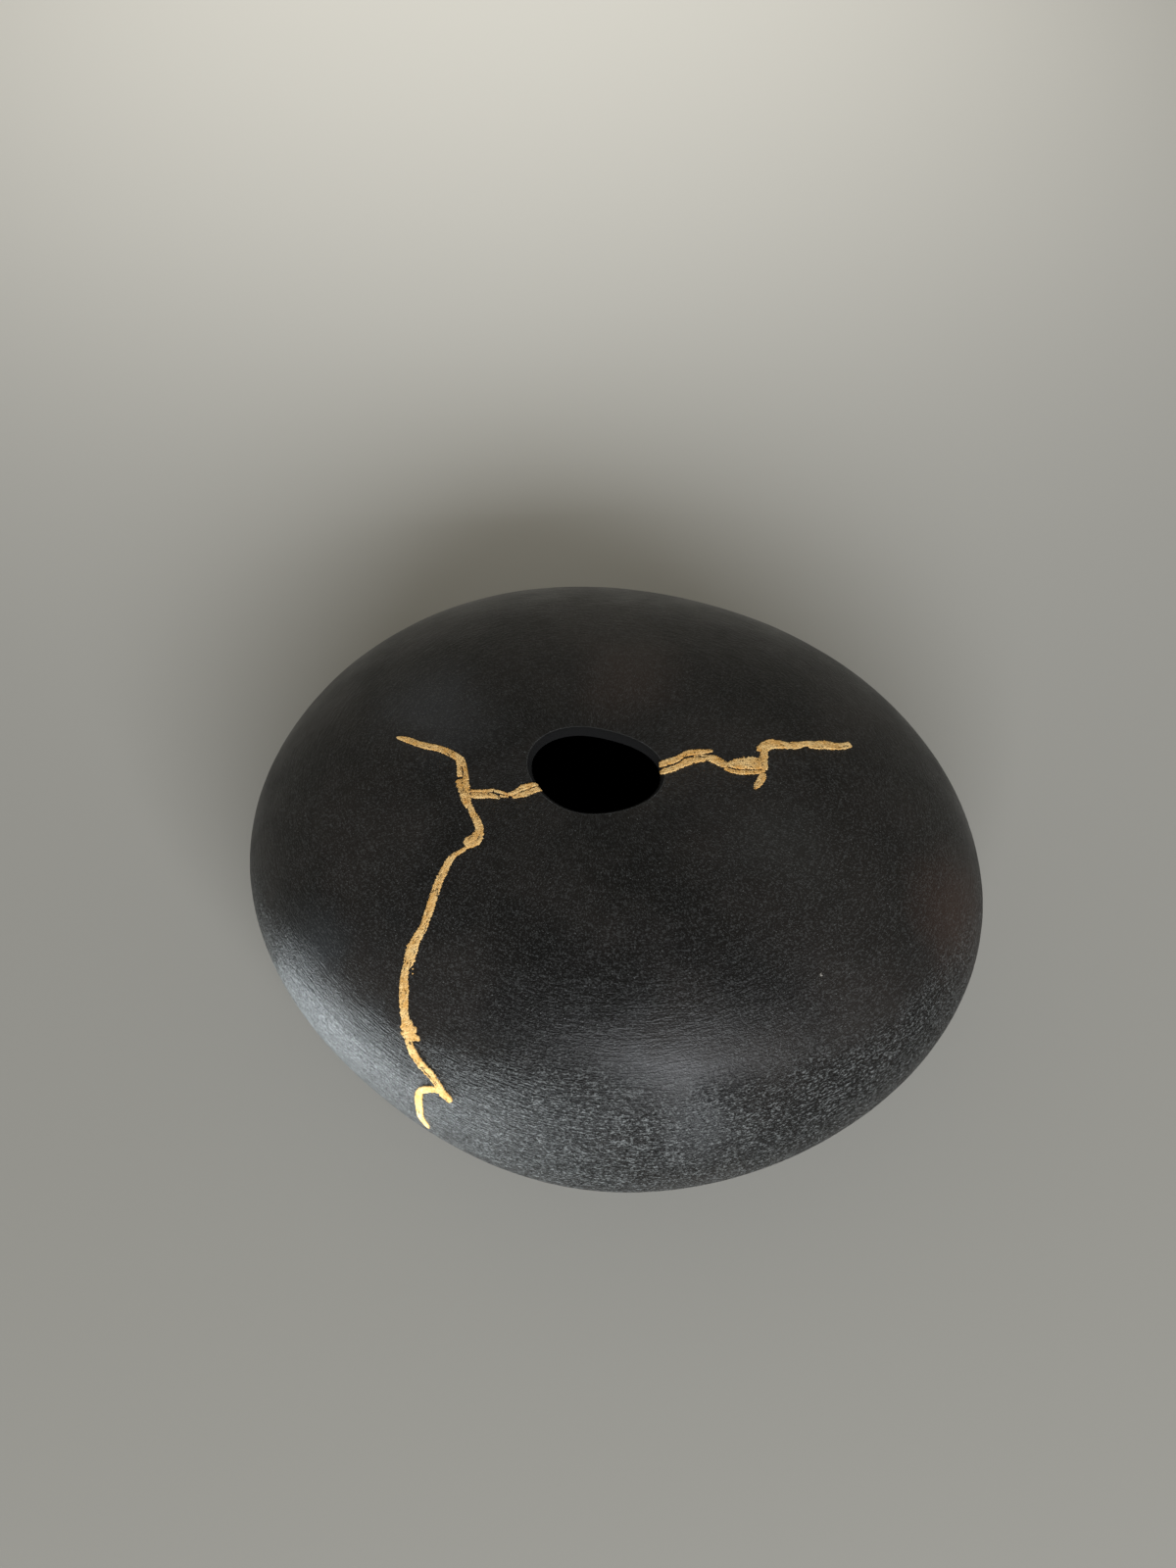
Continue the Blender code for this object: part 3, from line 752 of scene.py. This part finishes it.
def lay_patches(tree, shade, place, breaking, patches, edge):
    """Lays patches of other colours over a shade, each fading at an edge that a pattern breaks up."""
    broken, full, gone, easing = edge
    for centre, radius, tint, strength in patches:
        near = add_node(tree, VECTOR, {0: place, 1: centre}, "DISTANCE").outputs["Value"]
        near = add_node(tree, MATH, {0: breaking, 1: radius * broken, 2: near}, "MULTIPLY_ADD")
        fade = {"Value": near, "From Min": radius * full, "From Max": radius * gone}
        fade |= {"To Min": strength, "To Max": 0.0}
        fade = add_node(tree, REMAP, fade, interpolation_type=easing)
        shade = add_node(tree, MIX, {0: fade, 6: shade, 7: linear(tint)}, data_type="RGBA").outputs[2]
    return shade


def burnished_black_clay(colours, smoke_and_sheen_patches, marks):
    """Hand-built earthenware, rubbed with a pebble when leather-hard and blackened in smoke.

    The shoulder is burnished to a satin sheen. Lower down the clay was drier when it was rubbed, so it
    has pale, rough grain in short strokes that run round the vase; on the lower front its pale specks
    are also painted glints of the sheen. The smoke leaves soft warm and grey patches, and two pale
    patches on the lower wall are painted sheen. The lip's crest has a thin painted highlight, and inside
    it the clay is unburnished and black.
    """
    material, tree, shader = new_material("burnished_black_clay")
    place = add_node(tree, "ShaderNodeTexCoord").outputs["Object"]
    flow = add_node(tree, "ShaderNodeAttribute", attribute_name="clay_flow").outputs["Vector"]
    over = add_node(tree, "ShaderNodeAttribute", attribute_name="over").outputs["Fac"]
    patterns = []
    for size, detail, roughness in ((RUB_SIZE, 2.0, 0.7), (STREAK_SIZE, 2.0, 0.5)):
        drawn = add_node(tree, VECTOR, {0: flow, 1: [1 / length for length in size]}, "MULTIPLY")
        drawn = {"Vector": drawn, "Scale": 1.0, "Detail": detail, "Roughness": roughness}
        patterns.append(add_node(tree, NOISE, drawn))
    for size, detail, roughness in ((GRAIN_SIZE, 1.0, 0.5), (CLOUD_SIZE, 3.0, 0.55), (WORN_SIZE, 3.0, 0.6)):
        drawn = {"Vector": place, "Scale": 1 / size, "Detail": detail, "Roughness": roughness}
        patterns.append(add_node(tree, NOISE, drawn))
    rubbed, streak, grain, cloud, worn = patterns
    rubbed = add_node(tree, MATH, {0: streak, 1: STREAK_WEIGHT, 2: rubbed}, "MULTIPLY_ADD")

    # How much drier the clay was when it was rubbed, which also lays the painted glints of the sheen, and
    # how far inside the lip a place is, both from 0 to 1
    height = add_node(tree, VECTOR, {0: place, 1: DRY_AND_GLINT_TILT}, "DOT_PRODUCT").outputs["Value"]
    height = add_node(tree, MATH, {0: cloud, 1: CLOUD_SHIFT, 2: height}, "MULTIPLY_ADD")
    dry_and_glint = {"Value": height, "From Min": BURNISHED_ABOVE, "From Max": DRY_AND_GLINT_BELOW}
    dry_and_glint = add_node(tree, REMAP, dry_and_glint, interpolation_type="SMOOTHSTEP")
    ragged = add_node(tree, MATH, {0: rubbed, 1: RAGGED_WEIGHT, 2: over}, "MULTIPLY_ADD")
    within = add_node(tree, REMAP, {"Value": ragged, "From Min": 0.5, "From Max": 0.7})

    # The smoke and its patches with the painted sheen, then the pale grain with its painted glints, dust
    # and the painted highlight on the lip's crest, then the inside and the marks
    smoke = add_node(tree, REMAP, {"Value": cloud, "From Min": 0.4, "From Max": 0.66})
    shade = {0: smoke, 6: colours.clay_dark, 7: colours.clay_pale}
    shade = add_node(tree, MIX, shade, data_type="RGBA").outputs[2]
    # Smoke clouds, with the two patches of painted sheen among them
    shade = lay_patches(tree, shade, place, smoke, smoke_and_sheen_patches, SMOKE_AND_SHEEN_EDGE)
    # The pale specks follow the rubbed grain and are strongest on the drier clay, where they are also painted
    # glints of the sheen
    most = add_node(tree, REMAP, {"Value": dry_and_glint, "To Min": BURNISHED_SHARE, "To Max": SPECK_AND_GLINT_SHARE})
    speck_and_glint = {"Value": rubbed, "From Min": 0.64, "From Max": 0.75, "To Max": most}
    dust = {"Value": grain, "From Min": 0.70, "From Max": 0.76, "To Max": 0.5}
    # A thin pale line along the lip's crest: a painted highlight
    rim_highlight = {"Value": over, "From Max": 0.12, "To Max": 0.22}
    for pale in (speck_and_glint, dust, rim_highlight):
        pale = add_node(tree, REMAP, pale)
        shade = add_node(tree, MIX, {0: pale, 6: shade, 7: colours.clay_speck_and_highlight}, data_type="RGBA").outputs[2]
    shade = add_node(tree, MIX, {0: within, 6: shade, 7: colours.clay_inside}, data_type="RGBA").outputs[2]
    shade = lay_patches(tree, shade, place, rubbed, marks, MARK_EDGE)
    tree.links.new(shade, shader.inputs["Base Color"])

    # Satin where it is burnished, and grain and strokes in the surface where it is dry
    gloss = {"Value": worn, "From Min": 0.3, "From Max": 0.7, "To Min": 0.30, "To Max": 0.42}
    gloss = add_node(tree, REMAP, gloss)
    gloss = add_node(tree, MATH, {0: rubbed, 1: RUB_DULLNESS, 2: gloss}, "MULTIPLY_ADD")
    gloss = add_node(tree, MIX, {0: within, 2: gloss, 3: INSIDE_DULLNESS}).outputs[0]
    tree.links.new(gloss, shader.inputs["Roughness"])
    shader.inputs["IOR"].default_value = 1.4
    relief = add_node(tree, REMAP, {"Value": dry_and_glint, "To Min": BURNISHED_SHARE, "To Max": 1.0})
    bump = None
    for pattern, depth in ((grain, GRAIN_DEPTH), (rubbed, RUB_DEPTH), (streak, STREAK_DEPTH)):
        raised = add_node(tree, MATH, {0: pattern, 1: relief}, "MULTIPLY")
        raised = {"Height": raised, "Distance": depth, "Strength": 1.0}
        if bump is not None:
            raised["Normal"] = bump
        bump = add_node(tree, "ShaderNodeBump", raised)
    tree.links.new(bump.outputs[0], shader.inputs["Normal"])
    return material


def gold_leaf(colours):
    """Gold leaf over raised lacquer: warm metal, folded and finely wrinkled, with a soft broken sheen.

    Where the leaf thinned or rubbed off, the dark lacquer shows through in pores and along folds.
    """
    material, tree, shader = new_material("gold_leaf")
    place = add_node(tree, "ShaderNodeTexCoord").outputs["Object"]
    sheet = {"Vector": place, "Scale": 1 / LEAF_SIZE, "Detail": 4.0, "Roughness": 0.65}
    sheet = add_node(tree, NOISE, sheet)
    crumple = {"Vector": place, "Scale": 1 / CRUMPLE_SIZE, "Detail": 3.0, "Roughness": 0.7}
    crumple = add_node(tree, NOISE, crumple)
    both = add_node(tree, MATH, {0: sheet, 1: crumple}, "ADD")
    share = add_node(tree, REMAP, {"Value": both, "From Min": 0.8, "From Max": 1.2})
    shade = {0: share, 6: colours.gold_deep, 7: colours.gold_pale}
    shade = add_node(tree, MIX, shade, data_type="RGBA").outputs[2]
    fold = add_node(tree, "ShaderNodeAttribute", attribute_name="fold").outputs["Fac"]
    deep = add_node(tree, MATH, {0: crumple, 1: PORE_WEIGHT, 2: fold}, "MULTIPLY_ADD")
    pore = {"Value": deep, "From Min": 0.60, "From Max": 0.68, "To Min": 0.9, "To Max": 0.0}
    pore = add_node(tree, REMAP, pore)
    shade = add_node(tree, MIX, {0: pore, 6: shade, 7: colours.lacquer}, data_type="RGBA").outputs[2]
    tree.links.new(shade, shader.inputs["Base Color"])
    shader.inputs["Metallic"].default_value = 1.0
    gloss = {"Value": crumple, "From Min": 0.3, "From Max": 0.7, "To Min": 0.78, "To Max": 0.92}
    gloss = add_node(tree, REMAP, gloss)
    tree.links.new(gloss.outputs[0], shader.inputs["Roughness"])
    bump = add_node(tree, "ShaderNodeBump", {"Height": crumple, "Distance": CRUMPLE_DEPTH, "Strength": 1.0})
    tree.links.new(bump.outputs[0], shader.inputs["Normal"])
    return material


def pale_floor(colours):
    """Matt painted board: pale and without pattern, darker in front with painted shade and paler towards the
    back.
    """
    material, tree, shader = new_material("pale_floor")
    place = add_node(tree, "ShaderNodeTexCoord").outputs["Object"]
    back = add_node(tree, "ShaderNodeSeparateXYZ", {0: place}).outputs["Y"]
    back = {"Value": back, "From Min": FLOOR_SHADE_FADE[0], "From Max": FLOOR_SHADE_FADE[1]}
    back = add_node(tree, REMAP, back, interpolation_type="SMOOTHSTEP")
    shade = {0: back, 6: colours.floor, 7: colours.floor_back}
    shade = add_node(tree, MIX, shade, data_type="RGBA").outputs[2]
    tree.links.new(shade, shader.inputs["Base Color"])
    shader.inputs["Roughness"].default_value = 0.9
    return material


class VaseSizes(bpy.types.PropertyGroup):
    """Sizes of the vessel and of the gold on it, in metres."""

    belly_radius: bpy.props.FloatProperty(
        name="Belly radius", description="Mean radius at the widest round",
        default=BELLY_RADIUS, unit="LENGTH")
    belly_height: bpy.props.FloatProperty(
        name="Belly height", description="Height of the widest round", default=BELLY_HEIGHT, unit="LENGTH")
    foot_radius: bpy.props.FloatProperty(
        name="Foot radius", description="Mean radius of the flat underside",
        default=FOOT_RADIUS, unit="LENGTH")
    wall: bpy.props.FloatProperty(
        name="Wall", description="Thickness of the clay wall", default=WALL, unit="LENGTH")
    floor: bpy.props.FloatProperty(
        name="Floor", description="Thickness of the clay floor", default=FLOOR, unit="LENGTH")
    lip_round: bpy.props.FloatProperty(
        name="Lip round", description="How far the lip rounds over inwards", default=LIP_ROUND, unit="LENGTH")
    mouth_length: bpy.props.FloatProperty(
        name="Mouth length", description="Long side of the oval mouth", default=MOUTH_LENGTH, unit="LENGTH")
    mouth_width: bpy.props.FloatProperty(
        name="Mouth width", description="Short side of the oval mouth", default=MOUTH_WIDTH, unit="LENGTH")
    dent_depth: bpy.props.FloatProperty(
        name="Dent depth", description="Depth of the broad dents left by the hand",
        default=0.5 * MM, unit="LENGTH")
    flat_depth: bpy.props.FloatProperty(
        name="Flat depth", description="Depth of the flats left by rubbing", default=0.12 * MM, unit="LENGTH")
    gold_height: bpy.props.FloatProperty(
        name="Gold height", description="How far the gold stands above the clay",
        default=0.4 * MM, unit="LENGTH")
    gold_wrinkle: bpy.props.FloatProperty(
        name="Gold wrinkle", description="How far wrinkles go from that height",
        default=0.16 * MM, unit="LENGTH")
    gold_sunk: bpy.props.FloatProperty(
        name="Gold sunk", description="How deep the gold's edges sit in the crack",
        default=0.25 * MM, unit="LENGTH")
    stroke_end: bpy.props.FloatProperty(
        name="Stroke end", description="Length over which a stroke's end rounds off",
        default=0.45 * MM, unit="LENGTH")
    stroke_fineness: bpy.props.FloatProperty(
        name="Stroke fineness", description="Mesh step along a stroke", default=0.22 * MM, unit="LENGTH")


class VaseColours(bpy.types.PropertyGroup):
    """Colours of the clay, the gold and the stage."""

    clay_dark: bpy.props.FloatVectorProperty(
        name="Dark clay", description="Clay where the smoke went deepest", subtype="COLOR", size=4,
        default=linear("#0D0C0B"))
    clay_pale: bpy.props.FloatVectorProperty(
        name="Pale clay", description="Clay where the smoke was thinner", subtype="COLOR", size=4,
        default=linear("#1F1C1A"))
    # Its colour also serves the painted glints in the grain and the painted highlight on the lip's crest
    clay_speck_and_highlight: bpy.props.FloatVectorProperty(
        name="Clay speck", description="Pale grain laid by rubbing", subtype="COLOR", size=4,
        default=linear("#808382"))
    clay_inside: bpy.props.FloatVectorProperty(
        name="Clay inside", description="Unburnished clay inside the mouth", subtype="COLOR", size=4,
        default=linear("#070707"))
    gold_deep: bpy.props.FloatVectorProperty(
        name="Deep gold", description="Gold leaf where it lies double", subtype="COLOR", size=4,
        default=linear("#E9BF70"))
    gold_pale: bpy.props.FloatVectorProperty(
        name="Pale gold", description="Gold leaf where it is rubbed", subtype="COLOR", size=4,
        default=linear("#FFEAB8"))
    lacquer: bpy.props.FloatVectorProperty(
        name="Lacquer", description="Lacquer that shows in the leaf's pores", subtype="COLOR", size=4,
        default=linear("#4A2C16"))
    # The floor in front is darker, with painted shade
    floor: bpy.props.FloatVectorProperty(
        name="Floor", description="The pale floor that the vase stands on", subtype="COLOR", size=4,
        default=linear("#A7A59D"))
    floor_back: bpy.props.FloatVectorProperty(
        name="Floor at the back", description="The same floor behind the vase", subtype="COLOR", size=4,
        default=linear("#C9C8C2"))


def hand_over(piece, node):
    """Gives a finished piece to the frame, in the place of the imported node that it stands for."""
    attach(piece, BODY)
    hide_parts(node)


class VASE_OT_shape_vessel(bpy.types.Operator):
    """Shape the hollow clay vessel"""

    bl_idname = "vase.shape_vessel"
    bl_label = "Shape the vessel"

    def execute(self, context):
        sizes = context.scene.vase_sizes
        sheet = clay_sheet(sizes)
        values = {
            "Belly radius": sizes.belly_radius,
            "Belly height": sizes.belly_height,
            "Shoulder rise": CROWN_HEIGHT - sizes.belly_height,
            "Undercut depth": undercut_depth(sizes),
            "Wall": sizes.wall,
            "Lip round": sizes.lip_round,
            "Mouth length": sizes.mouth_length,
            "Mouth width": sizes.mouth_width,
            "Mouth turn": radians(MOUTH_TURN),
            "Dent depth": sizes.dent_depth,
            "Flat depth": sizes.flat_depth,
        }
        vessel = apply_tree(sheet, vessel_tree(values, None), values)
        skin = skin_of(vessel)
        smoke_and_sheen_patches, marks = (
            [(on_skin(skin, *spot)[0], size * MM, tint, share) for spot, size, tint, share in patches]
            for patches in (SMOKE_AND_SHEEN_PATCHES, MARKS)
        )
        clay = burnished_black_clay(context.scene.vase_colours, smoke_and_sheen_patches, marks)
        vessel.data.materials.clear()
        vessel.data.materials.append(clay)
        hand_over(vessel, "vase_body")
        return {"FINISHED"}


class VASE_OT_lay_seams(bpy.types.Operator):
    """Lay the two seams of lacquer and gold leaf over the cracks"""

    bl_idname = "vase.lay_seams"
    bl_label = "Lay the gold seams"

    def execute(self, context):
        vessel = bpy.data.objects.get("vase_body_looks")
        if vessel is None:
            raise RuntimeError("The seams need the vessel first")
        gold = gold_leaf(context.scene.vase_colours)
        for node, strokes in (("gold_seam_left", LEFT_STROKES), ("gold_seam_right", RIGHT_STROKES)):
            seam = lay_seam(node + "_looks", strokes, context.scene.vase_sizes, vessel, gold)
            hand_over(seam, node)
        return {"FINISHED"}


def add_light(name, kind, place, turn, power, tint, shape):
    """A soft light that faces down, turned by degrees about X and then about Z."""
    lamp = bpy.data.lights.new(name, kind)
    lamp.energy = power
    lamp.color = linear(tint)[:3]
    for key, value in shape.items():
        setattr(lamp, key, value)
    light = put_in_scene(name, lamp)
    light.location = place
    light.rotation_euler = (radians(turn[0]), 0, radians(turn[1]))
    light.visible_camera = False


def add_sky(scene):
    """The studio's own even light, a little weaker from straight above than from the sides."""
    world = bpy.data.worlds.new("studio")
    world.use_nodes = True
    tree = world.node_tree
    tree.nodes.clear()
    around = add_node(tree, "ShaderNodeTexCoord").outputs["Generated"]
    height = add_node(tree, "ShaderNodeSeparateXYZ", {0: around}).outputs["Z"]
    height = add_node(tree, REMAP, {"Value": height, "From Min": 0.1, "From Max": 0.9})
    shade = {0: height, 6: linear(SKY_LOW), 7: linear(SKY_HIGH)}
    shade = add_node(tree, MIX, shade, data_type="RGBA").outputs[2]
    sky = add_node(tree, "ShaderNodeBackground", {"Color": shade, "Strength": SKY_STRENGTH})
    add_node(tree, "ShaderNodeOutputWorld", {"Surface": sky})
    scene.world = world


def add_camera(scene):
    """The photograph's camera, as its outline and mouth fitted it."""
    lens = bpy.data.cameras.new("camera")
    lens.sensor_fit = "AUTO"
    lens.sensor_width = SENSOR
    lens.lens = FOCAL_PIXELS / PHOTO_HEIGHT * SENSOR
    lens.clip_start = 0.01
    camera = put_in_scene("camera", lens)
    camera.location = CAMERA_PLACE
    camera.rotation_euler = (radians(CAMERA_TILT), 0, 0)
    scene.camera = camera


class VASE_OT_set_stage(bpy.types.Operator):
    """Set the pale floor, the soft lights and the camera"""

    bl_idname = "vase.set_stage"
    bl_label = "Set the stage"

    def execute(self, context):
        half = STAGE_SIZE / 2
        corners = [(-half, -half, 0), (half, -half, 0), (half, half, 0), (-half, half, 0)]
        mesh = bpy.data.meshes.new("floor")
        mesh.from_pydata(corners, [], [(0, 1, 2, 3)])
        mesh.materials.append(pale_floor(context.scene.vase_colours))
        put_in_scene("floor", mesh)
        add_sky(context.scene)
        for light in LIGHTS:
            add_light(*light)
        add_camera(context.scene)
        context.scene.view_settings.view_transform = "Standard"
        return {"FINISHED"}


class VASE_PT_steps(bpy.types.Panel):
    """The steps that make the vase"""

    bl_label = "Kintsugi vase"
    bl_space_type = "VIEW_3D"
    bl_region_type = "UI"
    bl_category = "Vase"

    def draw(self, context):
        for operator in OPERATORS:
            self.layout.operator(operator.bl_idname)
        for group in (context.scene.vase_sizes, context.scene.vase_colours):
            for name in group.__annotations__:
                self.layout.prop(group, name)


OPERATORS = (VASE_OT_shape_vessel, VASE_OT_lay_seams, VASE_OT_set_stage)
CLASSES = (VaseSizes, VaseColours, *OPERATORS, VASE_PT_steps)


def register():
    for cls in CLASSES:
        bpy.utils.register_class(cls)
    bpy.types.Scene.vase_sizes = bpy.props.PointerProperty(type=VaseSizes)
    bpy.types.Scene.vase_colours = bpy.props.PointerProperty(type=VaseColours)


def unregister():
    del bpy.types.Scene.vase_colours
    del bpy.types.Scene.vase_sizes
    for cls in reversed(CLASSES):
        bpy.utils.unregister_class(cls)


def main():
    register()
    bpy.ops.vase.shape_vessel()
    bpy.ops.vase.lay_seams()
    bpy.ops.vase.set_stage()


if __name__ == "__main__":
    main()
